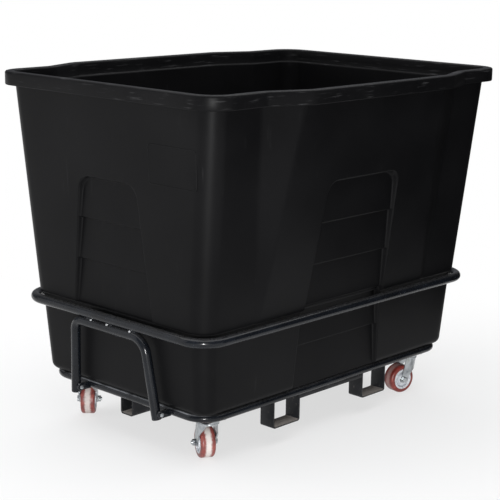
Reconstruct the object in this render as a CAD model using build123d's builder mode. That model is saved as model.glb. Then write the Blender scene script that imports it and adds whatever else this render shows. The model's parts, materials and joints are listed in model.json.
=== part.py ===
# Waste cart: a rotomoulded tub standing in a welded tube trolley on four swivel castors.
# Millimetres, +Z up. The origin is on the floor under the middle of the cart.
# The towing end is at -X, and left is the -Y side.

import os
from math import atan2, cos, radians, sin, sqrt, tan

from build123d import *

os.makedirs("parts", exist_ok=True)

# Fits and welds
weld_gap = 0.2
running_clearance = 0.06
bolt_clearance = 0.4
seat_clearance = 0.05

# Castor wheel and axle
wheel_diameter = 104.0
wheel_width = 50.0
tread_shoulder = 9.0
hub_diameter = 76.0
hub_rim = 8.0
hub_web = 26.0
boss_wall = 5.0
boss_end_play = 1.0
axle_diameter = 12.0
sleeve_wall = 3.0
bearing_section = 6.0
bearing_width = 12.0
axle_hex = 19.0
axle_head_height = 7.5
axle_nut_height = 10.0
axle_tail = 4.0

# Castor fork and swivel head
castor_lead = 35.0
fork_leg_thickness = 5.0
fork_side_clearance = 2.5
fork_eye_radius = 12.5
crown_clearance = 24.0
crown_thickness = 5.0
crown_tail = 27.0
crown_bend = 4.0
fold_lead = 8.0
fold_drop = 40.0
nose_gap = 27.2
kingpin_diameter = 12.0
kingpin_head_diameter = 22.0
kingpin_head_height = 5.5
kingpin_end_play = 0.5
ball_diameter = 5.0
ball_count = 14
ball_track = 29.0
ball_play = 0.1
race_thickness = 4.8
race_wall = 5.0
race_lift = 0.6

# Castor plate and its bolts
castor_plate_length = 105.0
castor_plate_width = 85.0
castor_plate_thickness = 5.0
castor_plate_corner = 8.0
castor_bolt_edge = 12.5
castor_bolt_diameter = 10.0
castor_bolt_hex = 17.0
castor_bolt_head = 6.4
castor_bolt_tail = 3.0
castor_nut_height = 8.0
castor_inset_x = 103.0
castor_inset_y = 87.0

# Rest headings of the castors, the way each wheel trails from its swivel axis
front_left_heading = 60.0
front_right_heading = 44.0
rear_left_heading = 167.0
rear_right_heading = 165.0

# Tub heights, measured from its underside
tub_height = 1021.0
shoulder_height = 276.0
recess_top_height = 711.0
louvre_pitch = 140.0
side_louvres = 5
end_louvres = 3

# Tub plan sizes, outside, at the underside, the shoulder and the rim
foot_length = 1257.0
foot_width = 778.0
waist_length = 1303.0
waist_width = 814.0
shoulder_step = 10.0
mouth_length = 1400.0
mouth_width = 972.0
foot_corner_radius = 55.0
waist_corner_radius = 60.0
mouth_corner_radius = 66.0
tub_wall = 8.0
tub_floor_thickness = 10.0
tub_bottom_radius = 22.0
shoulder_radius = 6.0
floor_edge = 27.0
corner_rake = 1.26

# Swollen middle panel of each long side, at the rim and at the shoulder
mouth_swell = 59.0
mouth_corner_zone = 205.0
mouth_flank_run = 150.0
waist_swell = 2.0
waist_corner_zone = 222.0
waist_flank_run = 20.0
flank_radius = 70.0

# Stepped recesses: half width at the top, widening below, depth at each step
side_recess_half = 176.0
side_recess_flare = 0.06
side_recess_deep = 22.0
side_recess_shallow = 12.0
end_recess_half = 132.0
end_recess_flare = 0.125
end_recess_deep = 18.0
end_recess_shallow = 10.0
recess_corner_radius = 45.0
cutter_reach = 90.0

# Rim lip
rim_overhang = 30.0
rim_depth = 45.0
rim_thickness = 8.0
rim_edge_radius = 5.0
mouth_rebate = 4.0

# Base ring, bearers and plates
ring_tube = 25.4
ring_wall = 2.6
ring_inset = 4.0
ring_bend = 77.0
bearer_width = 25.0
bearer_wall = 2.5
corner_plate_thickness = 10.0
corner_plate_margin = 8.0
corner_plate_hole = 24.0

# Tub bolts
tub_bolt_diameter = 10.0
tub_bolt_y = 200.0
tub_bolt_head_diameter = 20.0
tub_bolt_head_height = 6.0
tub_bolt_tail = 3.0
tub_nut_hex = 17.0
tub_nut_height = 8.0
tub_washer_diameter = 40.0
tub_washer_thickness = 3.0

# Bumper hoop
hoop_tube = 31.8
hoop_wall = 2.6
hoop_clearance = 1.2
hoop_drop = 2.0

# End supports that carry the hoop
support_tube = 31.8
support_wall = 2.6
support_top_spacing = 334.0
support_foot_spacing = 398.0
support_wide_bend = 58.0
support_tight_bend = 38.0
foot_reach = 29.0
foot_tail = 20.0
lug_drop = 4.0
lug_radius = 12.0
lug_thickness = 8.0
lug_clearance = 2.2
support_bolt_diameter = 8.0
support_bolt_hex = 13.0
support_bolt_head = 5.3
support_nut_height = 6.5
support_nut_face = 10.0

# Fork straps and the bars between them
strap_spacing = 458.0
strap_width = 130.0
strap_drop = 91.0
strap_bar_width = 60.0
strap_bar_thickness = 5.0
strap_bend = 4.0
strap_inset = 10.0
side_bar_thickness = 14.0

# Tow receiver
receiver_size = 60.0
receiver_wall = 5.0
receiver_length = 180.0
receiver_setback = 21.0
pin_hole_diameter = 16.0
pin_hole_setback = 60.0

# Heights that follow from the pieces standing on each other
wheel_radius = wheel_diameter / 2
crown_bottom = wheel_diameter + crown_clearance
crown_top = crown_bottom + crown_thickness
race_bottom = crown_top + ball_diameter + 2 * ball_play
castor_plate_bottom = race_bottom + race_thickness
castor_plate_top = castor_plate_bottom + castor_plate_thickness
plate_top = castor_plate_top + corner_plate_thickness
ring_radius = ring_tube / 2
ring_z = plate_top + weld_gap + ring_radius
tub_bottom = ring_z + ring_radius + weld_gap
shoulder_z = tub_bottom + shoulder_height
rim_top = tub_bottom + tub_height
recess_top = tub_bottom + recess_top_height
hoop_radius = hoop_tube / 2
hoop_z = shoulder_z - hoop_drop - hoop_radius

# Plan sizes that follow from the tub
ring_length = foot_length - 2 * ring_inset
ring_width = foot_width - 2 * ring_inset
ring_line_x = ring_length / 2 - ring_radius
ring_line_y = ring_width / 2 - ring_radius
hoop_line_x = waist_length / 2 + shoulder_step + hoop_clearance + hoop_radius
hoop_line_y = waist_width / 2 + shoulder_step + hoop_clearance + hoop_radius
hoop_corner = waist_corner_radius + shoulder_step + hoop_clearance + hoop_radius
castor_x = ring_length / 2 - castor_inset_x
castor_y = ring_width / 2 - castor_inset_y
strap_x = strap_spacing / 2


def keep(piece, name):
    piece.label = name
    export_step(piece, f"parts/{name}.step")


def between(low, high, z_low, z_high, z):
    return low + (high - low) * (z - z_low) / (z_high - z_low)


# Tub: the plan of the shell at a height, grown outwards or shrunk by an offset
def lower_half(z):
    half_length = between(foot_length, waist_length, tub_bottom, shoulder_z, z) / 2
    half_width = between(foot_width, waist_width, tub_bottom, shoulder_z, z) / 2
    return half_length, half_width


def upper_half(z):
    length_low = waist_length + 2 * shoulder_step
    width_low = waist_width + 2 * shoulder_step
    half_length = between(length_low, mouth_length, shoulder_z, rim_top, z) / 2
    half_width = between(width_low, mouth_width, shoulder_z, rim_top, z) / 2
    return half_length, half_width


def swell_at(z):
    return between(waist_swell, mouth_swell, shoulder_z, rim_top, z)


def lower_plan(z, grow):
    half_length, half_width = lower_half(z)
    corner = between(foot_corner_radius, waist_corner_radius, tub_bottom, shoulder_z, z)
    with BuildSketch(Plane.XY.offset(z)) as plan:
        RectangleRounded(2 * (half_length + grow), 2 * (half_width + grow), corner + grow)
    return plan.sketch


def upper_plan(z, grow):
    half_length, half_width = upper_half(z)
    swell = swell_at(z)
    corner_zone = between(waist_corner_zone, mouth_corner_zone, shoulder_z, rim_top, z)
    flank_run = between(waist_flank_run, mouth_flank_run, shoulder_z, rim_top, z)
    corner = between(waist_corner_radius + shoulder_step, mouth_corner_radius, shoulder_z, rim_top, z)
    flank_shift = grow * tan(atan2(swell, flank_run) / 2)
    end_x = half_length + grow
    flank_x = half_length - corner_zone + flank_shift
    panel_x = flank_x - flank_run
    corner_y = half_width + grow
    panel_y = corner_y + swell
    left_side = [
        (-end_x, -corner_y),
        (-flank_x, -corner_y),
        (-panel_x, -panel_y),
        (panel_x, -panel_y),
        (flank_x, -corner_y),
        (end_x, -corner_y),
    ]
    right_side = [(-x, -y) for x, y in left_side]
    inner = flank_radius - grow
    outer = flank_radius + grow
    side_radii = [corner + grow, inner, outer, outer, inner, corner + grow]
    with BuildSketch(Plane.XY.offset(z)) as plan:
        with BuildLine():
            FilletPolyline(left_side + right_side, radius=side_radii + side_radii, close=True)
        make_face()
    return plan.sketch


def side_wall(z):
    if z < shoulder_z:
        return lower_half(z)[1]
    return upper_half(z)[1] + swell_at(z)


def end_wall(z):
    return upper_half(z)[0]


# One stepped recess as a cutter, facing -Y: each step starts deep under its ledge
# and runs out shallow above the next one
def recess_cutter(levels, wall_at, top_half, flare, deep, shallow, grow):
    def half_at(z):
        return top_half + flare * (levels[0] - z) + grow

    def step_face(z, depth):
        with Locations((0, -(wall_at(z) - depth - grow))):
            Rectangle(foot_width, cutter_reach, align=(Align.CENTER, Align.MAX))

    with BuildPart() as cutter:
        for ledge, foot in zip(levels, levels[1:]):
            with BuildSketch(Plane.XY.offset(ledge + grow)):
                step_face(ledge, deep)
            with BuildSketch(Plane.XY.offset(foot)):
                step_face(foot, shallow)
            loft(ruled=True)
        with BuildSketch(Plane.XZ):
            with BuildLine():
                Polyline(
                    (-half_at(levels[-1]), levels[-1]),
                    (-half_at(levels[0]), levels[0] + grow),
                    (half_at(levels[0]), levels[0] + grow),
                    (half_at(levels[-1]), levels[-1]),
                    close=True,
                )
            make_face()
            fillet(vertices().group_by(Axis.Y)[-1], recess_corner_radius + grow)
        extrude(amount=foot_length, mode=Mode.INTERSECT)
    return cutter.part


side_levels = [recess_top - step * louvre_pitch for step in range(side_louvres)] + [tub_bottom]
end_levels = [recess_top - step * louvre_pitch for step in range(end_louvres)] + [shoulder_z]


# The tub's closed form between two heights, inset from the outside by a wall
def tub_form(inset, low, high):
    side_recess = recess_cutter(
        side_levels,
        side_wall,
        side_recess_half,
        side_recess_flare,
        side_recess_deep,
        side_recess_shallow,
        inset,
    )
    end_recess = recess_cutter(
        end_levels,
        end_wall,
        end_recess_half,
        end_recess_flare,
        end_recess_deep,
        end_recess_shallow,
        inset,
    )
    ledge = shoulder_z + inset
    with BuildPart() as form:
        loft([upper_plan(ledge, -inset), upper_plan(high, -inset)], ruled=True)
        fillet(form.faces().sort_by(Axis.Z)[0].edges(), shoulder_radius)
        loft([lower_plan(low, -inset), lower_plan(ledge, -inset)], ruled=True)
        fillet(form.faces().sort_by(Axis.Z)[0].edges(), tub_bottom_radius - inset)
        with Locations((0, 0, 0), Location((0, 0, 0), (0, 0, 180))):
            add(side_recess, mode=Mode.SUBTRACT)
        with Locations(Location((0, 0, 0), (0, 0, 90)), Location((0, 0, 0), (0, 0, -90))):
            add(end_recess, mode=Mode.SUBTRACT)
    return form.part


tub_outside = tub_form(0, tub_bottom, rim_top)
tub_inside = tub_form(tub_wall, tub_bottom + tub_floor_thickness, rim_top + rim_edge_radius)

with BuildPart() as rim:
    extrude(upper_plan(rim_top, rim_overhang), amount=-rim_depth)
    channel = upper_plan(rim_top, rim_overhang - rim_thickness).moved(Location((0, 0, -rim_depth)))
    extrude(channel, amount=rim_depth - rim_thickness, mode=Mode.SUBTRACT)

with BuildPart() as tub:
    add(tub_outside)
    add(rim.part)
    add(tub_inside, mode=Mode.SUBTRACT)
    rebate_foot = upper_plan(rim_top - rim_depth, mouth_rebate - tub_wall)
    rebate_top = upper_plan(rim_top, mouth_rebate - tub_wall)
    loft([rebate_foot, rebate_top], ruled=True, mode=Mode.SUBTRACT)
    fillet(tub.edges().group_by(Axis.Z)[-1], rim_edge_radius)
    with GridLocations(2 * strap_x, 2 * tub_bolt_y, 2, 2):
        with Locations((0, 0, tub_bottom)):
            Cylinder(
                tub_bolt_diameter / 2 + bolt_clearance,
                tub_floor_thickness,
                align=(Align.CENTER, Align.CENTER, Align.MIN),
                mode=Mode.SUBTRACT,
            )

# The shell is kept as plain panels that meet face to face: the floor, and on each side
# a lower wall and an upper wall that part level with the hoop's top and at the corners
panel_reach = mouth_length / 2
floor_x = foot_length / 2 - floor_edge
floor_y = foot_width / 2 - floor_edge
outer_x = floor_x + panel_reach
outer_y = floor_y + panel_reach * corner_rake
floor_corners = [(-floor_x, -floor_y), (floor_x, -floor_y), (floor_x, floor_y), (-floor_x, floor_y)]
outer_corners = [(-outer_x, -outer_y), (outer_x, -outer_y), (outer_x, outer_y), (-outer_x, outer_y)]
wall_plans = [
    [floor_corners[side - 1], floor_corners[side], outer_corners[side], outer_corners[side - 1]]
    for side in range(len(floor_corners))
]
panel_split = shoulder_z - hoop_drop


def panel(plan, low, high):
    with BuildPart() as piece:
        with BuildSketch(Plane.XY.offset(low)):
            with BuildLine():
                Polyline(plan, close=True)
            make_face()
        extrude(amount=high - low)
        add(tub.part, mode=Mode.INTERSECT)
    return piece.part


tub_panels = [panel(floor_corners, tub_bottom, panel_split)]
tub_panels += [panel(plan, tub_bottom, panel_split) for plan in wall_plans]
tub_panels += [panel(plan, panel_split, rim_top) for plan in wall_plans]
keep(Compound(tub_panels), "tub")


# Round tube: its cross-section, and the line of a closed ring
def tube_section(diameter, wall):
    Circle(diameter / 2)
    Circle(diameter / 2 - wall, mode=Mode.SUBTRACT)


def closed_line(half_length, half_width, corner):
    FilletPolyline(
        (-half_length, -half_width),
        (half_length, -half_width),
        (half_length, half_width),
        (-half_length, half_width),
        radius=corner,
        close=True,
    )


# Base ring, which the edge of the tub's floor stands on
with BuildPart() as base_ring:
    with BuildLine(Plane.XY.offset(ring_z)) as ring_line:
        closed_line(ring_line_x, ring_line_y, ring_bend)
    with BuildSketch(Plane(origin=ring_line.line @ 0, z_dir=ring_line.line % 0)):
        tube_section(ring_tube, ring_wall)
    sweep()
keep(base_ring.part, "base_ring")

# Bumper hoop around the tub, just under its shoulder
with BuildPart() as bumper_hoop:
    with BuildLine(Plane.XY.offset(hoop_z)) as hoop_line:
        closed_line(hoop_line_x, hoop_line_y, hoop_corner)
    with BuildSketch(Plane(origin=hoop_line.line @ 0, z_dir=hoop_line.line % 0)):
        tube_section(hoop_tube, hoop_wall)
    sweep()
keep(bumper_hoop.part, "bumper_hoop")

# Cross bearers: square tubes between the ring's long sides, under the tub floor
bearer_height = tub_bottom - plate_top
bearer_length = 2 * (ring_line_y - ring_radius - weld_gap)
bearer_z = plate_top + bearer_height / 2
with BuildPart() as cross_bearers:
    with Locations([(x, 0, bearer_z) for x in (-castor_x, -strap_x, strap_x, castor_x)]):
        Box(bearer_width, bearer_length, bearer_height)
        Box(
            bearer_width - 2 * bearer_wall,
            bearer_length,
            bearer_height - 2 * bearer_wall,
            mode=Mode.SUBTRACT,
        )
    with GridLocations(2 * strap_x, 2 * tub_bolt_y, 2, 2):
        with Locations((0, 0, bearer_z)):
            Cylinder(tub_bolt_diameter / 2 + bolt_clearance, bearer_height, mode=Mode.SUBTRACT)
keep(cross_bearers.part, "cross_bearers")

# Corner plates: flat plates welded under the outer bearers' ends, that the castors bolt to
castor_bolt_x = castor_plate_length - 2 * castor_bolt_edge
castor_bolt_y = castor_plate_width - 2 * castor_bolt_edge
corner_plate_length = castor_plate_length + 2 * corner_plate_margin
corner_plate_width = castor_plate_width + 2 * corner_plate_margin
corner_signs = [(-1, -1), (-1, 1), (1, -1), (1, 1)]
with BuildPart() as corner_plates:
    for sign_x, sign_y in corner_signs:
        with BuildSketch(Plane((sign_x * castor_x, sign_y * castor_y, castor_plate_top))):
            RectangleRounded(corner_plate_length, corner_plate_width, castor_plate_corner)
            Circle(corner_plate_hole / 2, mode=Mode.SUBTRACT)
            with GridLocations(castor_bolt_x, castor_bolt_y, 2, 2):
                Circle(castor_bolt_diameter / 2 + bolt_clearance, mode=Mode.SUBTRACT)
        extrude(amount=corner_plate_thickness)
keep(corner_plates.part, "corner_plates")


# Fasteners: a nut stands on its seat, a bolt's head lies behind its seat
def hexagon(across_flats):
    RegularPolygon(across_flats / 2, 6, major_radius=False)


def hex_nut(seat, across_flats, height, hole_diameter):
    with BuildPart() as nut:
        with BuildSketch(seat):
            hexagon(across_flats)
            Circle(hole_diameter / 2 + running_clearance, mode=Mode.SUBTRACT)
        extrude(amount=height)
    return nut.part


def hex_bolt(seat, across_flats, head_height, diameter, shank):
    with BuildPart() as bolt:
        with BuildSketch(seat):
            hexagon(across_flats)
        extrude(amount=-head_height)
        with BuildSketch(seat):
            Circle(diameter / 2)
        extrude(amount=shank)
    return bolt.part


# Tub bolts through the tub floor and the two inner bearers, on wide washers
washer_seat = tub_bottom + tub_floor_thickness
bolt_seat = washer_seat + tub_washer_thickness
tub_bolt_points = [(sign_x * strap_x, sign_y * tub_bolt_y) for sign_x, sign_y in corner_signs]
with BuildPart() as tub_washers:
    with BuildSketch(Plane.XY.offset(washer_seat)):
        with Locations(tub_bolt_points):
            Circle(tub_washer_diameter / 2)
            Circle(tub_bolt_diameter / 2 + bolt_clearance, mode=Mode.SUBTRACT)
    extrude(amount=tub_washer_thickness)
keep(tub_washers.part, "tub_washers")

with BuildPart() as tub_bolts:
    with BuildSketch(Plane.XY.offset(bolt_seat)):
        with Locations(tub_bolt_points):
            Circle(tub_bolt_head_diameter / 2)
    extrude(amount=tub_bolt_head_height)
    fillet(tub_bolts.edges().group_by(Axis.Z)[-1], tub_bolt_head_height / 2)
    with BuildSketch(Plane.XY.offset(bolt_seat)):
        with Locations(tub_bolt_points):
            Circle(tub_bolt_diameter / 2)
    extrude(amount=-(bolt_seat - plate_top + tub_nut_height + tub_bolt_tail))
keep(tub_bolts.part, "tub_bolts")

tub_nut_seats = [Plane((*point, plate_top), z_dir=(0, 0, -1)) for point in tub_bolt_points]
tub_nut_set = [hex_nut(seat, tub_nut_hex, tub_nut_height, tub_bolt_diameter) for seat in tub_nut_seats]
with BuildPart() as tub_nuts:
    add(tub_nut_set)
keep(tub_nuts.part, "tub_nuts")

# End supports: a bent tube U under each end of the hoop, leaning and splaying down
# to a lug beside each foot, in front of the base ring
support_radius = support_tube / 2
bar_z = hoop_z - hoop_radius - weld_gap - support_radius
foot_x = ring_length / 2 + foot_reach
bolt_z = ring_z - lug_drop
foot_z = bolt_z - foot_tail


def leg_x(z):
    return between(foot_x, hoop_line_x, foot_z, bar_z, z)


def leg_y(z):
    return between(support_foot_spacing, support_top_spacing, foot_z, bar_z, z) / 2


with BuildPart() as front_support:
    with BuildLine() as support_line:
        FilletPolyline(
            (-leg_x(foot_z), -leg_y(foot_z), foot_z),
            (-leg_x(bar_z), -leg_y(bar_z), bar_z),
            (-leg_x(bar_z), leg_y(bar_z), bar_z),
            (-leg_x(foot_z), leg_y(foot_z), foot_z),
            radius=[support_wide_bend, support_tight_bend],
        )
    with BuildSketch(Plane(origin=support_line.line @ 0, z_dir=support_line.line % 0)):
        tube_section(support_tube, support_wall)
    sweep()
    for side in (-1, 1):
        with Locations(Location((-leg_x(bolt_z), side * leg_y(bolt_z), bolt_z), (90, 0, 0))):
            Cylinder(
                support_bolt_diameter / 2 + bolt_clearance,
                support_tube,
                align=(Align.CENTER, Align.CENTER, Align.MIN),
                mode=Mode.SUBTRACT,
            )
keep(front_support.part, "front_support")

half_turn = Location((0, 0, 0), (0, 0, 180))
keep(front_support.part.moved(half_turn), "rear_support")

# Support lugs: a plate on the left of each front leg, welded to the front of the ring,
# and the same at the rear turned round
lug_offset = support_radius + lug_clearance
with BuildPart() as lug_set:
    for side in (-1, 1):
        lug_y = side * leg_y(bolt_z) - lug_offset
        with BuildSketch(Plane((0, lug_y, 0), x_dir=(1, 0, 0), z_dir=(0, -1, 0))):
            with Locations((-leg_x(bolt_z), bolt_z)):
                Circle(lug_radius)
                Rectangle(leg_x(bolt_z) - ring_line_x, 2 * lug_radius, align=(Align.MIN, Align.CENTER))
                Circle(support_bolt_diameter / 2 + bolt_clearance, mode=Mode.SUBTRACT)
            with Locations((-ring_line_x, ring_z)):
                Circle(ring_radius + weld_gap, mode=Mode.SUBTRACT)
        extrude(amount=lug_thickness)
with BuildPart() as support_lugs:
    add(lug_set.part)
    add(lug_set.part.moved(half_turn))
keep(support_lugs.part, "support_lugs")

# Support bolts through each lug into a nut welded inside the leg
head_reach = lug_offset + lug_thickness
grip = head_reach - support_nut_face
support_shank = grip + support_nut_height
head_seats = [
    Plane((end * leg_x(bolt_z), side * leg_y(bolt_z) + end * head_reach, bolt_z), z_dir=(0, -end, 0))
    for end in (-1, 1)
    for side in (-1, 1)
]
support_bolt_set = [
    hex_bolt(seat, support_bolt_hex, support_bolt_head, support_bolt_diameter, support_shank)
    for seat in head_seats
]
with BuildPart() as support_bolts:
    add(support_bolt_set)
keep(support_bolts.part, "support_bolts")

support_nut_set = [
    hex_nut(seat.offset(grip), support_bolt_hex, support_nut_height, support_bolt_diameter)
    for seat in head_seats
]
with BuildPart() as support_nuts:
    add(support_nut_set)
keep(support_nuts.part, "support_nuts")

# Fork straps: flat bar bent to a U under each long side of the ring
strap_outer_y = ring_width / 2 - strap_inset
with BuildPart() as fork_strap:
    with BuildSketch(Plane.XZ.offset(strap_outer_y - strap_bar_width)):
        with Locations((0, plate_top)):
            Rectangle(strap_width, strap_drop, align=(Align.CENTER, Align.MAX))
        fillet(vertices().group_by(Axis.Y)[0], strap_bend + strap_bar_thickness)
    extrude(amount=strap_bar_width)
    with BuildSketch(Plane.XZ.offset(strap_outer_y - strap_bar_width)):
        with Locations((0, plate_top)):
            Rectangle(
                strap_width - 2 * strap_bar_thickness,
                strap_drop - strap_bar_thickness,
                align=(Align.CENTER, Align.MAX),
            )
        fillet(vertices().group_by(Axis.Y)[0], strap_bend)
    extrude(amount=strap_bar_width, mode=Mode.SUBTRACT)

strap_places = {
    "front_left_fork_strap": Location((-strap_x, 0, 0)),
    "rear_left_fork_strap": Location((strap_x, 0, 0)),
    "front_right_fork_strap": Location((-strap_x, 0, 0), (0, 0, 180)),
    "rear_right_fork_strap": Location((strap_x, 0, 0), (0, 0, 180)),
}
for name, place in strap_places.items():
    keep(fork_strap.part.moved(place), name)

# Side bars: flat bars under the ring from strap to strap
with BuildPart() as left_side_bar:
    with Locations((0, -strap_outer_y, plate_top)):
        Box(
            strap_spacing - strap_width,
            strap_bar_width,
            side_bar_thickness,
            align=(Align.CENTER, Align.MIN, Align.MAX),
        )
keep(left_side_bar.part, "left_side_bar")
keep(left_side_bar.part.moved(half_turn), "right_side_bar")

# Tow receiver: square tube under the front of the ring, cross-drilled for a hitch pin
receiver_front = -(ring_length / 2 - receiver_setback)
receiver_z = plate_top - receiver_size / 2
receiver_bore = receiver_size - 2 * receiver_wall
with BuildPart() as tow_receiver:
    with BuildSketch(Plane((receiver_front, 0, receiver_z), x_dir=(0, 1, 0), z_dir=(1, 0, 0))):
        RectangleRounded(receiver_size, receiver_size, 2 * receiver_wall)
        RectangleRounded(receiver_bore, receiver_bore, receiver_wall, mode=Mode.SUBTRACT)
    extrude(amount=receiver_length)
    with Locations(Location((receiver_front + pin_hole_setback, 0, receiver_z), (90, 0, 0))):
        Cylinder(pin_hole_diameter / 2, 2 * receiver_size, mode=Mode.SUBTRACT)
keep(tow_receiver.part, "tow_receiver")

# Castor pieces, each made once about its swivel axis with the wheel trailing along +X
fork_inner = wheel_width / 2 + fork_side_clearance
fork_outer = fork_inner + fork_leg_thickness
axle_plane = Plane((castor_lead, 0, wheel_radius), x_dir=(1, 0, 0), z_dir=(0, -1, 0))
axle_radius = axle_diameter / 2
sleeve_bore = axle_radius + running_clearance
sleeve_radius = sleeve_bore + sleeve_wall
bearing_bore = sleeve_radius + running_clearance
bearing_radius = bearing_bore + bearing_section
boss_radius = bearing_radius + boss_wall
boss_half = fork_inner - boss_end_play
hub_radius = hub_diameter / 2
race_inner = ball_track + ball_diameter / 2 + ball_play
race_outer = race_inner + race_wall

# Top plate with the pressed ball race under it
with BuildPart() as top_plate:
    with BuildSketch(Plane.XY.offset(castor_plate_bottom)):
        RectangleRounded(castor_plate_length, castor_plate_width, castor_plate_corner)
        with GridLocations(castor_bolt_x, castor_bolt_y, 2, 2):
            Circle(castor_bolt_diameter / 2 + bolt_clearance, mode=Mode.SUBTRACT)
    extrude(amount=castor_plate_thickness)
    with BuildSketch(Plane.XY.offset(race_bottom)):
        Circle(race_outer)
    extrude(amount=race_thickness)
    with BuildSketch(Plane.XY.offset(crown_top + race_lift)):
        Circle(race_outer)
        Circle(race_inner, mode=Mode.SUBTRACT)
    extrude(until=Until.NEXT)
    with BuildSketch(Plane.XY.offset(race_bottom)):
        Circle(kingpin_diameter / 2 + seat_clearance)
    extrude(amount=race_thickness + castor_plate_thickness, mode=Mode.SUBTRACT)

# Kingpin, headed under the fork crown and riveted flush in the plate
with BuildPart() as kingpin:
    with BuildSketch(Plane.XY.offset(crown_bottom - kingpin_end_play)):
        Circle(kingpin_head_diameter / 2)
    extrude(amount=-kingpin_head_height)
    with BuildSketch(Plane.XY.offset(crown_bottom - kingpin_end_play)):
        Circle(kingpin_diameter / 2)
    extrude(amount=castor_plate_top - crown_bottom + kingpin_end_play)

# Balls of the swivel bearing
with BuildPart() as ball_ring:
    with PolarLocations(ball_track, ball_count):
        with Locations((0, 0, crown_top + ball_play + ball_diameter / 2)):
            Sphere(ball_diameter / 2)

# Fork: a crown plate with two pressed legs that slant back to the axle, each folded
# under the front of the crown
def fork_flank(hand):
    fold_top = Vector(0, hand * fork_outer, crown_bottom)
    fold_foot = Vector(-fold_lead, hand * fork_outer, crown_bottom - fold_drop)
    nose = Vector(-sqrt(race_outer**2 - (nose_gap / 2) ** 2), hand * nose_gap / 2, crown_bottom)
    inward = (nose - fold_top).cross(Vector(0, 0, -hand)).normalized()
    flank = make_face(Polyline(fold_top, nose, fold_foot, close=True))
    return extrude(flank, amount=fork_leg_thickness, dir=inward)


fork_flanks = [fork_flank(-1), fork_flank(1)]
with BuildPart() as fork:
    with BuildSketch(Plane.XY.offset(crown_bottom)):
        Rectangle(crown_tail, 2 * fork_outer, align=(Align.MIN, Align.CENTER))
        Circle(race_outer)
    extrude(amount=crown_thickness)
    fillet(fork.edges().filter_by(Axis.X).group_by(Axis.Z)[-1], crown_bend)
    for hand in (-1, 1):
        with BuildSketch(Plane((0, hand * fork_inner, 0), x_dir=(1, 0, 0), z_dir=(0, -1, 0))):
            with BuildLine():
                Polyline(
                    (0, crown_bottom),
                    (crown_tail, crown_bottom),
                    (castor_lead + fork_eye_radius, wheel_radius),
                    (castor_lead - fork_eye_radius, wheel_radius),
                    (-fold_lead, crown_bottom - fold_drop),
                    close=True,
                )
            make_face()
            with Locations((castor_lead, wheel_radius)):
                Circle(fork_eye_radius)
                Circle(axle_radius + bolt_clearance, mode=Mode.SUBTRACT)
        extrude(amount=-hand * fork_leg_thickness)
    add(fork_flanks)
    with BuildSketch(Plane.XY.offset(crown_bottom)):
        Circle(kingpin_diameter / 2 + running_clearance)
    extrude(amount=crown_thickness, mode=Mode.SUBTRACT)

# Axle bolt, its nut and the sleeve that it clamps between the legs
axle_shank = 2 * fork_outer + axle_nut_height + axle_tail
axle_bolt = hex_bolt(axle_plane.offset(-fork_outer), axle_hex, axle_head_height, axle_diameter, axle_shank)
axle_nut = hex_nut(axle_plane.offset(fork_outer), axle_hex, axle_nut_height, axle_diameter)

with BuildPart() as axle_sleeve:
    with BuildSketch(axle_plane.offset(-fork_inner)):
        Circle(sleeve_radius)
        Circle(sleeve_bore, mode=Mode.SUBTRACT)
    extrude(amount=2 * fork_inner)

# Wheel hub: rim, web and a boss that holds a bearing at each side
with BuildPart() as hub:
    with BuildSketch(axle_plane):
        Circle(hub_radius)
        Circle(hub_radius - hub_rim, mode=Mode.SUBTRACT)
    extrude(amount=wheel_width / 2, both=True)
    with BuildSketch(axle_plane):
        Circle(hub_radius - hub_rim)
    extrude(amount=hub_web / 2, both=True)
    with BuildSketch(axle_plane):
        Circle(boss_radius)
    extrude(amount=boss_half, both=True)
    with BuildSketch(axle_plane):
        Circle(bearing_radius - bearing_section / 2)
    extrude(amount=boss_half, both=True, mode=Mode.SUBTRACT)
    for side in (-1, 1):
        with BuildSketch(axle_plane.offset(side * boss_half)):
            Circle(bearing_radius + seat_clearance)
        extrude(amount=-side * bearing_width, mode=Mode.SUBTRACT)

# Wheel bearings, one at each end of the boss
with BuildPart() as bearings:
    for side in (-1, 1):
        with BuildSketch(axle_plane.offset(side * boss_half)):
            Circle(bearing_radius)
            Circle(bearing_bore, mode=Mode.SUBTRACT)
        extrude(amount=-side * bearing_width)

# Tread: polyurethane tyre with rounded shoulders, cast on the hub
with BuildPart() as tread:
    with BuildSketch(axle_plane):
        Circle(wheel_radius)
    extrude(amount=wheel_width / 2, both=True)
    fillet(tread.edges(), tread_shoulder)
    with BuildSketch(axle_plane):
        Circle(hub_radius + seat_clearance)
    extrude(amount=wheel_width / 2, both=True, mode=Mode.SUBTRACT)

# Bolts and nuts that hold one castor plate up to its corner plate
castor_bolt_seats = [
    (sign_x * castor_bolt_x / 2, sign_y * castor_bolt_y / 2) for sign_x, sign_y in corner_signs
]
bolt_shank = plate_top - castor_plate_bottom + castor_nut_height + castor_bolt_tail
castor_bolt_set = [
    hex_bolt(
        Plane((*point, castor_plate_bottom)),
        castor_bolt_hex,
        castor_bolt_head,
        castor_bolt_diameter,
        bolt_shank,
    )
    for point in castor_bolt_seats
]
castor_nut_set = [
    hex_nut(Plane((*point, plate_top)), castor_bolt_hex, castor_nut_height, castor_bolt_diameter)
    for point in castor_bolt_seats
]

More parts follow.
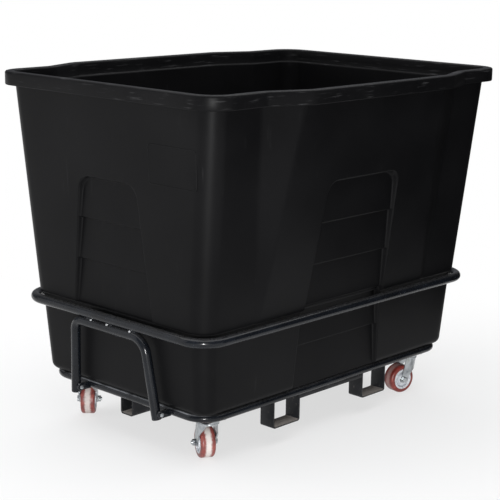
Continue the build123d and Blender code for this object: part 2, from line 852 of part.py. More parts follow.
# The four castors at their corners: plates and pins square to the frame, forks and
# wheels turned to their rest headings, the front left axle put in from the other side
axle_turn = Location((2 * castor_lead, 0, 0), (0, 0, 180))
castors = {
    "front_left": (-castor_x, -castor_y, front_left_heading, axle_turn),
    "front_right": (-castor_x, castor_y, front_right_heading, Location()),
    "rear_left": (castor_x, -castor_y, rear_left_heading, Location()),
    "rear_right": (castor_x, castor_y, rear_right_heading, Location()),
}
axle_set = {"axle_bolt": axle_bolt, "axle_nut": axle_nut}
turning = {
    "fork": fork.part,
    "axle_sleeve": axle_sleeve.part,
    "wheel_hub": hub.part,
    "wheel_bearings": bearings.part,
    "wheel_tread": tread.part,
}
for corner, (x, y, heading, axle_place) in castors.items():
    square = Location((x, y, 0))
    turned = Location((x, y, 0), (0, 0, heading))
    keep(top_plate.part.moved(square), f"{corner}_castor_plate")
    keep(kingpin.part.moved(square), f"{corner}_kingpin")
    for piece_name, piece in axle_set.items():
        keep(piece.moved(axle_place).moved(turned), f"{corner}_{piece_name}")
    for piece_name, piece in turning.items():
        keep(piece.moved(turned), f"{corner}_{piece_name}")
    axle_x = x + castor_lead * cos(radians(heading))
    axle_y = y + castor_lead * sin(radians(heading))
    print(f"{corner}: swivel axis {x:.2f}, {y:.2f}; axle {axle_x:.2f}, {axle_y:.2f}, heading {heading}")

corners = [Location((x, y, 0)) for x, y, heading, axle_place in castors.values()]
with BuildPart() as swivel_balls:
    with Locations(corners):
        add(ball_ring.part)
keep(swivel_balls.part, "swivel_balls")

with BuildPart() as castor_bolts:
    with Locations(corners):
        add(castor_bolt_set)
keep(castor_bolts.part, "castor_bolts")

with BuildPart() as castor_nuts:
    with Locations(corners):
        add(castor_nut_set)
keep(castor_nuts.part, "castor_nuts")
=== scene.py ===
import json
from math import atan2, cos, hypot, pi, radians, sin, tan

import bmesh
import bpy
from mathutils import Matrix, Vector


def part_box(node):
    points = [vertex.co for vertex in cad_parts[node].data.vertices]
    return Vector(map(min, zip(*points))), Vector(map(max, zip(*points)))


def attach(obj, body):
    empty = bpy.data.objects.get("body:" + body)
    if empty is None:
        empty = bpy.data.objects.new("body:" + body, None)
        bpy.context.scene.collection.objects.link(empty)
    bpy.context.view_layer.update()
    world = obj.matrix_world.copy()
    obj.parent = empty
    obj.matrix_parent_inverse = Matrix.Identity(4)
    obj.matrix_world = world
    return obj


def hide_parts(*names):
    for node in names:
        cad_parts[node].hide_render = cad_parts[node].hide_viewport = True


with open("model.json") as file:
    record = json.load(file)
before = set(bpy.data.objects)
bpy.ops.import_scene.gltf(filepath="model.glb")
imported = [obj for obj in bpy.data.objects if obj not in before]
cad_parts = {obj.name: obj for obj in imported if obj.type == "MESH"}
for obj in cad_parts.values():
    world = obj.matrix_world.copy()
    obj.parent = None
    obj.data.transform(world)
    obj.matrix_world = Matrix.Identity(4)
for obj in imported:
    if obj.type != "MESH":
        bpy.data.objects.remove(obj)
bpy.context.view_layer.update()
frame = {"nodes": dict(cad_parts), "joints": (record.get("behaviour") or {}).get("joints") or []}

# Base ring: a closed ring of 25.4 mm steel tube that the edge of the tub's floor stands on.
# It is bent cold and butt-welded, then painted with the rest of the trolley.


def linear(hex_colour):
    """An sRGB hex colour as the linear RGBA that shader sockets take."""
    parts = [int(hex_colour[k : k + 2], 16) / 255 for k in (1, 3, 5)]
    return [c / 12.92 if c <= 0.04045 else ((c + 0.055) / 1.055) ** 2.4 for c in parts] + [1.0]


def add(tree, kind, settings=None, inputs=None):
    """A node with its settings and links. Stops are a colour ramp's (place, hex colour) pairs, and
    an input is either a value or another node's output."""
    made = tree.nodes.new(kind)
    for key, value in (settings or {}).items():
        if key != "stops":
            setattr(made, key, value)
            continue
        elements = made.color_ramp.elements
        while len(elements) < len(value):
            elements.new(0.5)
        for element, (place, hex_colour) in zip(elements, value):
            element.position, element.color = place, linear(hex_colour)
    for key, value in (inputs or {}).items():
        if isinstance(value, bpy.types.NodeSocket):
            tree.links.new(value, made.inputs[key])
        else:
            made.inputs[key].default_value = value
    return made


def new_finish(name):
    """An empty material with its shader, output and object coordinates ready."""
    finish = bpy.data.materials.new(name)
    finish.use_nodes = True
    tree = finish.node_tree
    tree.nodes.clear()
    shader = add(tree, "ShaderNodeBsdfPrincipled")
    add(tree, "ShaderNodeOutputMaterial", {}, {"Surface": shader.outputs["BSDF"]})
    place = add(tree, "ShaderNodeTexCoord").outputs["Object"]
    return finish, tree, shader, place


# Satin black enamel sprayed on steel tube: a smooth dark film that mirrors the room softly,
# a little uneven in gloss over a hand's width, with pale dust lying on what faces up. A painted
# highlight: a broken bright line along the top of the ring at the towing end, where the tube faces up at
# one slope.
enamel, tree, shader, place = new_finish("satin_black_enamel_on_steel")
drift = add(tree, "ShaderNodeTexNoise", {}, {"Vector": place, "Scale": 1 / 0.09, "Detail": 3.0})
film = add(
    tree,
    "ShaderNodeValToRGB",
    {"stops": [(0.35, "#0b0d11"), (0.65, "#13161b")]},
    {"Fac": drift.outputs["Fac"]},
)
grit = add(tree, "ShaderNodeTexNoise", {}, {"Vector": place, "Scale": 1 / 0.012, "Detail": 5.0})
normal = add(tree, "ShaderNodeNewGeometry").outputs["Normal"]
facing = add(tree, "ShaderNodeSeparateXYZ", {}, {"Vector": normal})
lying = add(
    tree,
    "ShaderNodeMapRange",
    {},
    {"Value": facing.outputs["Z"], "From Min": 0.6, "From Max": 1.0, "To Max": 0.16},
)
dusted = add(
    tree, "ShaderNodeMath", {"operation": "MULTIPLY"}, {0: lying.outputs["Result"], 1: grit.outputs["Fac"]}
)
skin = add(
    tree,
    "ShaderNodeMix",
    {"data_type": "RGBA"},
    {0: dusted.outputs["Value"], 6: film.outputs["Color"], 7: linear("#8d8a86")},
)
gloss = add(tree, "ShaderNodeMapRange", {}, {"Value": grit.outputs["Fac"], "To Min": 0.20, "To Max": 0.36})
peel = add(tree, "ShaderNodeTexNoise", {}, {"Vector": place, "Scale": 1 / 0.0025, "Detail": 2.0})
bump = add(
    tree, "ShaderNodeBump", {}, {"Height": peel.outputs["Fac"], "Strength": 0.25, "Distance": 0.00012}
)
# Painted highlight on the ring: a bright line where the tube faces up at this slope, below this height,
# towards the towing end
highlight_facing, highlight_height, highlight_end = 0.84, 0.186, -0.605
from_line = add(
    tree, "ShaderNodeMath", {"operation": "SUBTRACT"}, {0: facing.outputs["Z"], 1: highlight_facing}
)
off_line = add(tree, "ShaderNodeMath", {"operation": "ABSOLUTE"}, {0: from_line.outputs["Value"]})
on_line = add(
    tree,
    "ShaderNodeMapRange",
    {},
    {"Value": off_line.outputs["Value"], "From Min": 0.05, "From Max": 0.16, "To Min": 0.5, "To Max": 0.0},
)
where = add(tree, "ShaderNodeSeparateXYZ", {}, {"Vector": place})
on_ring = add(
    tree,
    "ShaderNodeMapRange",
    {},
    {
        "Value": where.outputs["Z"],
        "From Min": highlight_height,
        "From Max": highlight_height + 0.002,
        "To Min": 1.0,
        "To Max": 0.0,
    },
)
at_end = add(
    tree,
    "ShaderNodeMapRange",
    {},
    {
        "Value": where.outputs["X"],
        "From Min": highlight_end,
        "From Max": highlight_end + 0.030,
        "To Min": 1.0,
        "To Max": 0.0,
    },
)
broken = add(
    tree, "ShaderNodeMapRange", {}, {"Value": drift.outputs["Fac"], "From Min": 0.36, "From Max": 0.56}
)
patchy = add(
    tree,
    "ShaderNodeMath",
    {"operation": "MULTIPLY"},
    {0: on_ring.outputs["Result"], 1: broken.outputs["Result"]},
)
there = add(
    tree,
    "ShaderNodeMath",
    {"operation": "MULTIPLY"},
    {0: patchy.outputs["Value"], 1: at_end.outputs["Result"]},
)
# Where the painted highlight lies: on the facing line, broken up, on the ring at the towing end
rub_and_highlight = add(
    tree,
    "ShaderNodeMath",
    {"operation": "MULTIPLY"},
    {0: on_line.outputs["Result"], 1: there.outputs["Value"]},
)
# The painted highlight's pale grey laid over the enamel's colour
highlit = add(
    tree,
    "ShaderNodeMix",
    {"data_type": "RGBA"},
    {0: rub_and_highlight.outputs["Value"], 6: skin.outputs[2], 7: linear("#b4b7bc")},
)
tree.links.new(highlit.outputs[2], shader.inputs["Base Color"])
tree.links.new(gloss.outputs["Result"], shader.inputs["Roughness"])
tree.links.new(bump.outputs["Normal"], shader.inputs["Normal"])
shader.inputs["Specular IOR Level"].default_value = 0.14
shader.inputs["Coat Weight"].default_value = 0.28
shader.inputs["Coat Roughness"].default_value = 0.07

# The tube tree: a path of straight runs gets its bends from each point's own radius, then a
# round section is drawn along it.
tube_tree = bpy.data.node_groups.new("bent_tube", "GeometryNodeTree")
tube_tree.interface.new_socket("Path", in_out="INPUT", socket_type="NodeSocketGeometry")
tube_tree.interface.new_socket("Tube radius", in_out="INPUT", socket_type="NodeSocketFloat")
tube_tree.interface.new_socket("Facets round", in_out="INPUT", socket_type="NodeSocketInt")
tube_tree.interface.new_socket("Finish", in_out="INPUT", socket_type="NodeSocketMaterial")
tube_tree.interface.new_socket("Tube", in_out="OUTPUT", socket_type="NodeSocketGeometry")
given = add(tube_tree, "NodeGroupInput")
line = add(tube_tree, "GeometryNodeMeshToCurve", {}, {"Mesh": given.outputs["Path"]})
bend = add(tube_tree, "GeometryNodeInputNamedAttribute", {"data_type": "FLOAT"}, {"Name": "bend"})
eased = add(
    tube_tree,
    "GeometryNodeFilletCurve",
    {"mode": "POLY"},
    {
        "Curve": line.outputs["Curve"],
        "Count": 14,
        "Radius": bend.outputs["Attribute"],
        "Limit Radius": True,
    },
)
section = add(
    tube_tree,
    "GeometryNodeCurvePrimitiveCircle",
    {},
    {"Resolution": given.outputs["Facets round"], "Radius": given.outputs["Tube radius"]},
)
drawn = add(
    tube_tree,
    "GeometryNodeCurveToMesh",
    {},
    {"Curve": eased.outputs["Curve"], "Profile Curve": section.outputs["Curve"], "Fill Caps": False},
)
rounded = add(tube_tree, "GeometryNodeSetShadeSmooth", {}, {"Geometry": drawn.outputs["Mesh"]})
whole = add(tube_tree, "GeometryNodeRealizeInstances", {}, {"Geometry": rounded.outputs["Geometry"]})
painted = add(
    tube_tree,
    "GeometryNodeSetMaterial",
    {},
    {"Geometry": whole.outputs["Geometry"], "Material": given.outputs["Finish"]},
)
add(tube_tree, "NodeGroupOutput", {}, {"Tube": painted.outputs["Geometry"]})


def path_mesh(name, runs, bends=None):
    """A mesh of bare edges: each run is (points, closed), and bends go to the points in order."""
    points, edges = [], []
    for run, closed in runs:
        first = len(points)
        points += [tuple(p) for p in run]
        edges += [(first + k, first + k + 1) for k in range(len(run) - 1)]
        if closed:
            edges.append((first + len(run) - 1, first))
    mesh = bpy.data.meshes.new(name)
    mesh.from_pydata(points, edges, [])
    if bends:
        mesh.attributes.new("bend", "FLOAT", "POINT").data.foreach_set("value", bends)
    return mesh


def link(piece):
    bpy.context.scene.collection.objects.link(piece)
    return piece


def made_by(nodes, path, name, sizes):
    """Runs a geometry tree over a path and keeps the result as a plain mesh."""
    carrier = link(bpy.data.objects.new(name + "_path", path))
    modifier = carrier.modifiers.new("made", "NODES")
    modifier.node_group = nodes
    for item in nodes.interface.items_tree:
        if item.item_type == "SOCKET" and item.in_out == "INPUT" and item.name in sizes:
            modifier[item.identifier] = sizes[item.name]
    depsgraph = bpy.context.evaluated_depsgraph_get()
    mesh = bpy.data.meshes.new_from_object(carrier.evaluated_get(depsgraph))
    bpy.data.objects.remove(carrier)
    shell = bmesh.new()
    shell.from_mesh(mesh)
    bmesh.ops.recalc_face_normals(shell, faces=shell.faces)
    shell.to_mesh(mesh)
    shell.free()
    mesh.name = name
    return link(bpy.data.objects.new(name, mesh))


def ring_path(name, node, tube_radius, bend_radius):
    low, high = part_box(node)
    x, y, z = high.x - tube_radius, high.y - tube_radius, (low.z + high.z) / 2
    corners = [(-x, -y, z), (x, -y, z), (x, y, z), (-x, y, z)]
    return path_mesh(name, [(corners, True)], [bend_radius] * 4)


ring_radius, ring_bend, tube_facets = 0.0127, 0.077, 28
base_ring = made_by(
    tube_tree,
    ring_path("base_ring_path", "base_ring", ring_radius, ring_bend),
    "base_ring_tube",
    {"Tube radius": ring_radius, "Facets round": tube_facets, "Finish": enamel},
)
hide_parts("base_ring")
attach(base_ring, "frame")

# Cross bearers and corner plates: square tubes across the ring under the tub's floor, and the
# flat plates that the castors bolt up to. Sawn and sheared steel, edges eased by the paint.
same_point, same_plane, sharp_turn = 0.00001, radians(0.5), radians(32)


def edged(node, width, finish, body="frame", segments=2):
    """A copy of a frame node with its edges eased, standing for that node."""
    mesh = frame["nodes"][node].data.copy()
    mesh.name = node + "_eased"
    shell = bmesh.new()
    shell.from_mesh(mesh)
    bmesh.ops.remove_doubles(shell, verts=shell.verts, dist=same_point)
    bmesh.ops.dissolve_limit(
        shell, angle_limit=same_plane, verts=shell.verts, edges=shell.edges, delimit={"NORMAL"}
    )
    shell.to_mesh(mesh)
    shell.free()
    mesh.materials.clear()
    mesh.materials.append(finish)
    mesh.polygons.foreach_set("use_smooth", [True] * len(mesh.polygons))
    piece = link(bpy.data.objects.new(node + "_eased", mesh))
    bevel = piece.modifiers.new("eased_edges", "BEVEL")
    bevel.width = width
    bevel.segments = segments
    bevel.limit_method = "ANGLE"
    bevel.angle_limit = sharp_turn
    bevel.harden_normals = True
    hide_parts(node)
    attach(piece, body)
    return piece


# How far the edges of each kind of stock are eased
bar_edge, plate_edge, pressed_edge, bolt_edge, washer_edge = 0.0012, 0.0010, 0.0015, 0.0006, 0.0005
edged("cross_bearers", bar_edge, enamel)
edged("corner_plates", plate_edge, enamel)

# Castors: zinc-plated plates, kingpins, pressed forks and axle bolts, with a grey iron hub and
# a cast red polyurethane tread on two bearings. All four swivel and none has a brake.

# Bright zinc plate on pressed steel: a cool grey metal, cloudy and a little stained with use.
zinc, tree, shader, place = new_finish("bright_zinc_plate")
cloud = add(tree, "ShaderNodeTexNoise", {}, {"Vector": place, "Scale": 1 / 0.03, "Detail": 4.0})
tone = add(
    tree,
    "ShaderNodeValToRGB",
    {"stops": [(0.3, "#85898d"), (0.55, "#b9bdc0"), (0.8, "#9c9f98")]},
    {"Fac": cloud.outputs["Fac"]},
)
scuff = add(tree, "ShaderNodeTexNoise", {}, {"Vector": place, "Scale": 1 / 0.004, "Detail": 4.0})
gloss = add(
    tree, "ShaderNodeMapRange", {}, {"Value": scuff.outputs["Fac"], "To Min": 0.22, "To Max": 0.50}
)
tree.links.new(tone.outputs["Color"], shader.inputs["Base Color"])
tree.links.new(gloss.outputs["Result"], shader.inputs["Roughness"])
shader.inputs["Metallic"].default_value = 1.0

# Ground bearing steel: brighter and smoother than the plate, with fine turning marks.
bearing_steel, tree, shader, place = new_finish("ground_bearing_steel")
mark = add(tree, "ShaderNodeTexNoise", {}, {"Vector": place, "Scale": 1 / 0.0015, "Detail": 3.0})
tone = add(
    tree,
    "ShaderNodeValToRGB",
    {"stops": [(0.3, "#b4b6b8"), (0.7, "#d0d2d3")]},
    {"Fac": mark.outputs["Fac"]},
)
tree.links.new(tone.outputs["Color"], shader.inputs["Base Color"])
shader.inputs["Metallic"].default_value = 1.0
shader.inputs["Roughness"].default_value = 0.25

# Light grey enamel on cast iron: the sand-cast skin still shows as a soft grain under the paint.
hub_enamel, tree, shader, place = new_finish("grey_enamel_on_cast_iron")
grain = add(tree, "ShaderNodeTexNoise", {}, {"Vector": place, "Scale": 1 / 0.006, "Detail": 5.0})
tone = add(
    tree,
    "ShaderNodeValToRGB",
    {"stops": [(0.25, "#a2a5ab"), (0.5, "#d2d5da"), (0.8, "#e4e6e9")]},
    {"Fac": grain.outputs["Fac"]},
)
bump = add(
    tree, "ShaderNodeBump", {}, {"Height": grain.outputs["Fac"], "Strength": 0.4, "Distance": 0.0004}
)
tree.links.new(tone.outputs["Color"], shader.inputs["Base Color"])
tree.links.new(bump.outputs["Normal"], shader.inputs["Normal"])
shader.inputs["Roughness"].default_value = 0.38

# Cast polyurethane: a waxy brick red, with a pale band of floor dust worn into the middle of
# the tread. The band follows how far a point lies across the wheel.
tread_red, tree, shader, place = new_finish("cast_red_polyurethane")
mottle = add(tree, "ShaderNodeTexNoise", {}, {"Vector": place, "Scale": 1 / 0.018, "Detail": 4.0})
red = add(
    tree,
    "ShaderNodeValToRGB",
    {"stops": [(0.3, "#5e1511"), (0.55, "#7f2a22"), (0.8, "#9a4a3f")]},
    {"Fac": mottle.outputs["Fac"]},
)
across = add(tree, "ShaderNodeAttribute", {"attribute_name": "across"})
spread = add(tree, "ShaderNodeMath", {"operation": "ABSOLUTE"}, {0: across.outputs["Fac"]})
fine = add(tree, "ShaderNodeTexNoise", {}, {"Vector": place, "Scale": 1 / 0.007, "Detail": 4.0})
ragged = add(
    tree,
    "ShaderNodeMath",
    {"operation": "MULTIPLY_ADD"},
    {0: fine.outputs["Fac"], 1: 0.35, 2: spread.outputs["Value"]},
)
band = add(
    tree,
    "ShaderNodeMapRange",
    {},
    {"Value": ragged.outputs["Value"], "From Min": 0.42, "From Max": 0.68, "To Min": 0.92, "To Max": 0.05},
)
share = add(tree, "ShaderNodeAttribute", {"attribute_name": "dust"})
dust = add(
    tree, "ShaderNodeMath", {"operation": "MULTIPLY"}, {0: band.outputs["Result"], 1: share.outputs["Fac"]}
)
worn = add(
    tree,
    "ShaderNodeMix",
    {"data_type": "RGBA"},
    {0: dust.outputs["Value"], 6: red.outputs["Color"], 7: linear("#d9d3ce")},
)
gloss = add(
    tree, "ShaderNodeMapRange", {}, {"Value": dust.outputs["Value"], "To Min": 0.38, "To Max": 0.75}
)
bump = add(
    tree, "ShaderNodeBump", {}, {"Height": fine.outputs["Fac"], "Strength": 0.3, "Distance": 0.0003}
)
tree.links.new(worn.outputs[2], shader.inputs["Base Color"])
tree.links.new(gloss.outputs["Result"], shader.inputs["Roughness"])
tree.links.new(bump.outputs["Normal"], shader.inputs["Normal"])


def turned(name, profile, centre, axle, finish, steps=72):
    """A solid turned about an axle from a closed (radius, across) profile."""
    up = Vector((0, 0, 1))
    ahead = axle.cross(up)
    points = []
    for k in range(steps):
        turn = 2 * pi * k / steps
        out = ahead * cos(turn) + up * sin(turn)
        points += [centre + out * radius + axle * reach for radius, reach in profile]
    count = len(profile)
    faces = []
    for k in range(steps):
        near, far = k * count, (k + 1) % steps * count
        for j in range(count):
            n = (j + 1) % count
            faces.append((near + j, near + n, far + n, far + j))
    mesh = bpy.data.meshes.new(name)
    mesh.from_pydata(points, [], faces)
    shell = bmesh.new()
    shell.from_mesh(mesh)
    bmesh.ops.recalc_face_normals(shell, faces=shell.faces)
    shell.to_mesh(mesh)
    shell.free()
    mesh.materials.append(finish)
    mesh.polygons.foreach_set("use_smooth", [True] * len(mesh.polygons))
    mesh.set_sharp_from_angle(angle=sharp_turn)
    return link(bpy.data.objects.new(name, mesh))


def finished(node, finish):
    """A frame node that stays as it is, in a better material."""
    for place in frame["nodes"][node].material_slots:
        place.material = finish


wheel_half, wheel_radius, hub_radius, tread_shoulder = 0.025, 0.052, 0.038, 0.009
tread_bore = hub_radius + 0.00005
arc = [radians(7.5 * k) for k in range(13)]
left_shoulder = [
    (
        wheel_radius - tread_shoulder * (1 - sin(turn)),
        -wheel_half + tread_shoulder * (1 - cos(turn)),
    )
    for turn in arc
]
crown = [(wheel_radius, reach / 1000) for reach in range(-13, 14, 2)]
tread_half = [(tread_bore, -wheel_half)] + left_shoulder + crown
tread_profile = tread_half + [(r, -reach) for r, reach in reversed(left_shoulder)]
tread_profile.append((tread_bore, wheel_half))

# The hub's section from its bearing seat out: boss end, dished web, then the rim under the tread
hub_side = [
    (0.0153, -0.0265),
    (0.0195, -0.0265),
    (0.0203, -0.0257),
    (0.0206, -0.0165),
    (0.0225, -0.0135),
    (0.0275, -0.0135),
    (0.0292, -0.0155),
    (0.0298, -0.0235),
    (0.0312, -0.0249),
    (0.0372, -0.0249),
    (0.0380, -0.0243),
]
hub_profile = hub_side + [(r, -reach) for r, reach in reversed(hub_side)]
# How much of the pale band each tread has picked up
wheel_dust = {"front_left": 1.0, "front_right": 0.85, "rear_left": 0.3, "rear_right": 0.5}
for joint in frame["joints"]:
    if not joint["name"].endswith("_wheel_roll"):
        continue
    corner = joint["name"][: -len("_wheel_roll")]
    centre, axle = Vector(joint["pos_m"]), Vector(joint["axis"]).normalized()
    wheel, swivel = corner + "_wheel", corner + "_swivel"
    tread = turned(corner + "_tread", tread_profile, centre, axle, tread_red)
    reach = [(v.co - centre).dot(axle) / wheel_half for v in tread.data.vertices]
    tread.data.attributes.new("across", "FLOAT", "POINT").data.foreach_set("value", reach)
    dusty = [wheel_dust[corner]] * len(reach)
    tread.data.attributes.new("dust", "FLOAT", "POINT").data.foreach_set("value", dusty)
    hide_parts(corner + "_wheel_tread")
    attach(tread, wheel)
    hub = turned(corner + "_hub", hub_profile, centre, axle, hub_enamel)
    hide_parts(corner + "_wheel_hub")
    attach(hub, wheel)
    finished(corner + "_wheel_bearings", bearing_steel)
    finished(corner + "_axle_sleeve", bearing_steel)
    finished(corner + "_kingpin", zinc)
    edged(corner + "_fork", pressed_edge, zinc, swivel, 3)
    edged(corner + "_axle_bolt", bolt_edge, zinc, swivel)
    edged(corner + "_axle_nut", bolt_edge, zinc, swivel)
    edged(corner + "_castor_plate", plate_edge, zinc)
edged("castor_bolts", bolt_edge, zinc)
edged("castor_nuts", bolt_edge, zinc)
finished("swivel_balls", bearing_steel)

# Fork straps, side bars and tow receiver: hot-rolled flat bar bent to a U, flat bar under the
# ring, and a short square tube drilled for a hitch pin. All welded up and painted.

# The same enamel, but knocked about by fork tines and tow bars: grey dust and rubbed steel on
# the floors of the pockets, small chips elsewhere.
rubbed, tree, shader, place = new_finish("rubbed_black_enamel_on_flat_bar")
drift = add(tree, "ShaderNodeTexNoise", {}, {"Vector": place, "Scale": 1 / 0.05, "Detail": 4.0})
film = add(
    tree,
    "ShaderNodeValToRGB",
    {"stops": [(0.35, "#111214"), (0.7, "#1b1c1f")]},
    {"Fac": drift.outputs["Fac"]},
)
chip = add(tree, "ShaderNodeTexNoise", {}, {"Vector": place, "Scale": 1 / 0.006, "Detail": 5.0})
chipped = add(
    tree,
    "ShaderNodeMapRange",
    {},
    {"Value": chip.outputs["Fac"], "From Min": 0.66, "From Max": 0.72, "To Max": 0.6},
)
normal = add(tree, "ShaderNodeNewGeometry").outputs["Normal"]
facing = add(tree, "ShaderNodeSeparateXYZ", {}, {"Vector": normal})
lying = add(
    tree,
    "ShaderNodeMapRange",
    {},
    {"Value": facing.outputs["Z"], "From Min": 0.5, "From Max": 0.95, "To Max": 0.85},
)
marks = add(
    tree,
    "ShaderNodeMath",
    {"operation": "MAXIMUM"},
    {0: lying.outputs["Result"], 1: chipped.outputs["Result"]},
)
skin = add(
    tree,
    "ShaderNodeMix",
    {"data_type": "RGBA"},
    {0: marks.outputs["Value"], 6: film.outputs["Color"], 7: linear("#8f8984")},
)
gloss = add(
    tree, "ShaderNodeMapRange", {}, {"Value": chip.outputs["Fac"], "To Min": 0.30, "To Max": 0.55}
)
tree.links.new(skin.outputs[2], shader.inputs["Base Color"])
tree.links.new(gloss.outputs["Result"], shader.inputs["Roughness"])
shader.inputs["Specular IOR Level"].default_value = 0.25

for corner in ("front_left", "front_right", "rear_left", "rear_right"):
    edged(corner + "_fork_strap", bar_edge, rubbed)
edged("left_side_bar", bar_edge, rubbed)
edged("right_side_bar", bar_edge, rubbed)
edged("tow_receiver", plate_edge, rubbed)

# End supports: a U of 31.8 mm tube under each end of the hoop, with one wide and one tight bend.
# Its legs lean and splay down to bolted lugs in front of the base ring. The ends are open.
support_radius, support_bore, wide_bend, tight_bend = 0.0159, 0.0133, 0.058, 0.038
sawn_turn = radians(40)
bar_x, bar_y, foot_x, foot_y, foot_drop, weld_gap = -0.6786, 0.167, -0.6535, 0.199, 0.0240, 0.0002
ring_top, hoop_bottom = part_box("base_ring")[1].z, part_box("bumper_hoop")[0].z
bar_z = hoop_bottom - weld_gap - support_radius
foot_z = ring_top - ring_radius - foot_drop
legs = [(foot_x, -foot_y, foot_z), (bar_x, -bar_y, bar_z), (bar_x, bar_y, bar_z), (foot_x, foot_y, foot_z)]
bends = [0.0, wide_bend, tight_bend, 0.0]
for end, sign in (("front", 1), ("rear", -1)):
    run = [(sign * x, sign * y, z) for x, y, z in legs]
    wall = made_by(
        tube_tree,
        path_mesh(end + "_support_path", [(run, False)], bends),
        end + "_support_tube",
        {"Tube radius": support_radius, "Facets round": tube_facets, "Finish": enamel},
    )
    bore = made_by(
        tube_tree,
        path_mesh(end + "_support_bore_path", [(run, False)], bends),
        end + "_support_bore",
        {"Tube radius": support_bore, "Facets round": tube_facets, "Finish": enamel},
    )
    shell = bmesh.new()
    shell.from_mesh(bore.data)
    bmesh.ops.reverse_faces(shell, faces=shell.faces)
    shell.from_mesh(wall.data)
    open_edges = [edge for edge in shell.edges if edge.is_boundary]
    for hand in (-1, 1):
        rims = [edge for edge in open_edges if edge.verts[0].co.y * hand > 0]
        bmesh.ops.bridge_loops(shell, edges=rims)
    shell.to_mesh(wall.data)
    shell.free()
    bpy.data.objects.remove(bore)
    wall.data.set_sharp_from_angle(angle=sawn_turn)
    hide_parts(end + "_support")
    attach(wall, "frame")
edged("support_lugs", plate_edge, enamel)
edged("support_bolts", bolt_edge, zinc)
edged("support_nuts", bolt_edge, zinc)

# Bumper hoop: a closed ring of 31.8 mm tube around the tub, just under its shoulder. It stands
# on the two end supports and keeps the tub off walls.
hoop_radius, hoop_bend, hoop_facets = 0.0159, 0.0871, 32
bumper_hoop = made_by(
    tube_tree,
    ring_path("bumper_hoop_path", "bumper_hoop", hoop_radius, hoop_bend),
    "bumper_hoop_tube",
    {"Tube radius": hoop_radius, "Facets round": hoop_facets, "Finish": enamel},
)
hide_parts("bumper_hoop")
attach(bumper_hoop, "frame")

# Tub: one rotomoulded polyethylene shell about 8 mm thick, every edge rounded by the mould. Its
# long sides swell outwards towards the rim, its walls carry stepped recesses, and its rim turns
# down over the outside. It stands loose on the ring and is bolted to the bearers.

# Rotomoulded black polyethylene: waxy and half glossy, with the faint orange peel of the mould,
# thin scratches where loads slide over it, and greyer scuffs along the rim.
polyethylene, tree, shader, place = new_finish("rotomoulded_black_polyethylene")
drift = add(tree, "ShaderNodeTexNoise", {}, {"Vector": place, "Scale": 1 / 0.25, "Detail": 3.0})
tone = add(
    tree,
    "ShaderNodeValToRGB",
    {"stops": [(0.35, "#0c0c0d"), (0.7, "#111112")]},
    {"Fac": drift.outputs["Fac"]},
)
drawn_out = add(tree, "ShaderNodeMapping", {}, {"Vector": place, "Scale": (90.0, 90.0, 5.0)})
streak = add(
    tree,
    "ShaderNodeTexNoise",
    {},
    {"Vector": drawn_out.outputs["Vector"], "Scale": 1.0, "Detail": 6.0},
)
scratched = add(
    tree,
    "ShaderNodeMapRange",
    {},
    {"Value": streak.outputs["Fac"], "From Min": 0.66, "From Max": 0.80, "To Max": 0.12},
)
height = add(tree, "ShaderNodeSeparateXYZ", {}, {"Vector": place})
near_rim = add(
    tree,
    "ShaderNodeMapRange",
    {},
    {"Value": height.outputs["Z"], "From Min": 1.155, "From Max": 1.161},
)
along_rim = add(tree, "ShaderNodeMapping", {}, {"Vector": place, "Scale": (14.0, 14.0, 160.0)})
rub_and_highlight = add(
    tree,
    "ShaderNodeTexNoise",
    {},
    {"Vector": along_rim.outputs["Vector"], "Scale": 1.0, "Detail": 5.0},
)
rubbing = add(
    tree,
    "ShaderNodeMapRange",
    {},
    {"Value": rub_and_highlight.outputs["Fac"], "From Min": 0.60, "From Max": 0.74, "To Max": 0.45},
)
rim_marks = add(
    tree,
    "ShaderNodeMath",
    {"operation": "MULTIPLY"},
    {0: rubbing.outputs["Result"], 1: near_rim.outputs["Result"]},
)
marks = add(
    tree,
    "ShaderNodeMath",
    {"operation": "MAXIMUM"},
    {0: rim_marks.outputs["Value"], 1: scratched.outputs["Result"]},
)
skin = add(
    tree,
    "ShaderNodeMix",
    {"data_type": "RGBA"},
    {0: marks.outputs["Value"], 6: tone.outputs["Color"], 7: linear("#4a4a4b")},
)
gloss = add(tree, "ShaderNodeMapRange", {}, {"Value": drift.outputs["Fac"], "To Min": 0.36, "To Max": 0.46})
peel = add(tree, "ShaderNodeTexNoise", {}, {"Vector": place, "Scale": 1 / 0.005, "Detail": 2.0})
bump = add(
    tree, "ShaderNodeBump", {}, {"Height": peel.outputs["Fac"], "Strength": 0.2, "Distance": 0.0003}
)
tree.links.new(skin.outputs[2], shader.inputs["Base Color"])
tree.links.new(gloss.outputs["Result"], shader.inputs["Roughness"])
tree.links.new(bump.outputs["Normal"], shader.inputs["Normal"])
shader.inputs["Specular IOR Level"].default_value = 0.07

tub_low, tub_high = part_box("tub")
tub_floor, rim_top = tub_low.z, tub_high.z
tub_wall, floor_wall, shoulder_rise, top_ledge_rise, ledge_step = 0.008, 0.010, 0.276, 0.711, 0.140
shoulder = tub_floor + shoulder_rise
ledges = [tub_floor + top_ledge_rise - ledge_step * k for k in range(5)] + [tub_floor]
end_ledges = ledges[:3] + [shoulder]

# Half length, half width and corner radius of the outline at four levels
foot_plan, neck_plan = (0.6285, 0.3890, 0.055), (0.6515, 0.4070, 0.060)
base_plan, mouth_plan = (0.6615, 0.4170, 0.070), (0.7000, 0.4860, 0.066)

# The swollen panel of a long side, at the shoulder and at the rim: how far it stands out, where its
# sloping flank starts and how long the flank is; then the radius where a flank bends
swell_out, flank_start, flank_run = (0.002, 0.059), (0.4395, 0.4950), (0.020, 0.150)
flank_bend, least_bend, bend_steps = 0.070, 0.010, 5

